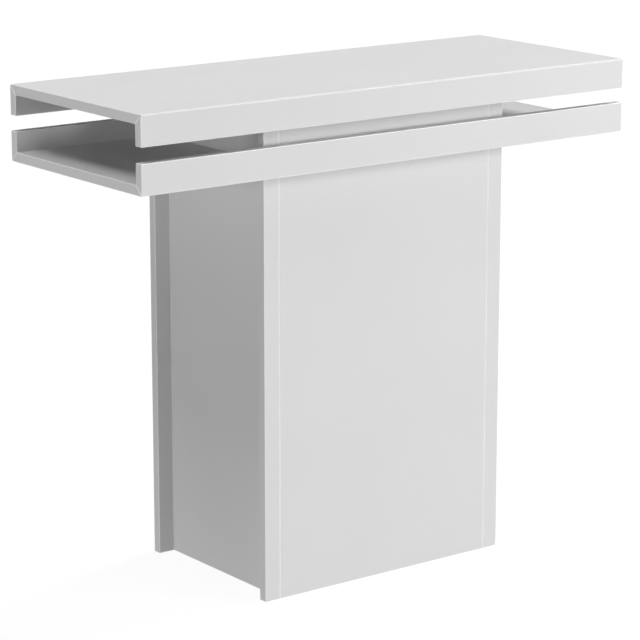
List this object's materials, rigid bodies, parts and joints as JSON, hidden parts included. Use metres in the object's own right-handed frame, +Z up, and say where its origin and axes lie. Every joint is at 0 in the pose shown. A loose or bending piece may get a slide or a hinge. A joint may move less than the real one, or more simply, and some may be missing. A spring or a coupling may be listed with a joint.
{
  "type": "console table",
  "caption": "White pedestal console table with a channel-shaped top over an open tray, a slot between their aprons, and a hollow pedestal that runs up through the tray.",
  "frame": {"origin": "on the floor, under the middle of the table", "axes": "+X along the table's length, +Y to its back, +Z up; the front is -Y"},
  "size_m": [0.9, 0.35, 0.76],
  "materials": {
    "white_board": "smooth satin white lacquer on 15 mm board",
    "inner_board": "plain white board, unseen inside the pedestal",
    "beech": "bare",
    "zinc_steel": "zinc plated"
  },
  "bodies": {
    "root": {"back_left_corner_dowels": "beech", "back_left_stile": "white_board", "back_left_stile_dowels": "beech", "back_right_corner_dowels": "beech", "back_right_stile": "white_board", "back_right_stile_dowels": "beech", "base_back_rail": "inner_board", "base_back_rail_dowels": "beech", "base_front_rail": "inner_board", "base_front_rail_dowels": "beech", "front_left_corner_dowels": "beech", "front_left_stile": "white_board", "front_left_stile_dowels": "beech", "front_right_corner_dowels": "beech", "front_right_stile": "white_board", "front_right_stile_dowels": "beech", "left_tray_screws": "zinc_steel", "middle_back_rail": "inner_board", "middle_back_rail_dowels": "beech", "middle_front_rail": "inner_board", "middle_front_rail_dowels": "beech", "pedestal_back_panel": "white_board", "pedestal_front_panel": "white_board", "pedestal_left_side": "white_board", "pedestal_right_side": "white_board", "pedestal_top_plate": "inner_board", "right_tray_screws": "zinc_steel", "top_back_apron": "white_board", "top_back_biscuits": "beech", "top_board": "white_board", "top_fixing_screws": "zinc_steel", "top_front_apron": "white_board", "top_front_biscuits": "beech", "top_plate_face_dowels": "beech", "top_plate_side_dowels": "beech", "tray_back_apron": "white_board", "tray_back_biscuits": "beech", "tray_floor": "white_board", "tray_front_apron": "white_board", "tray_front_biscuits": "beech"}
  },
  "joints": []
}
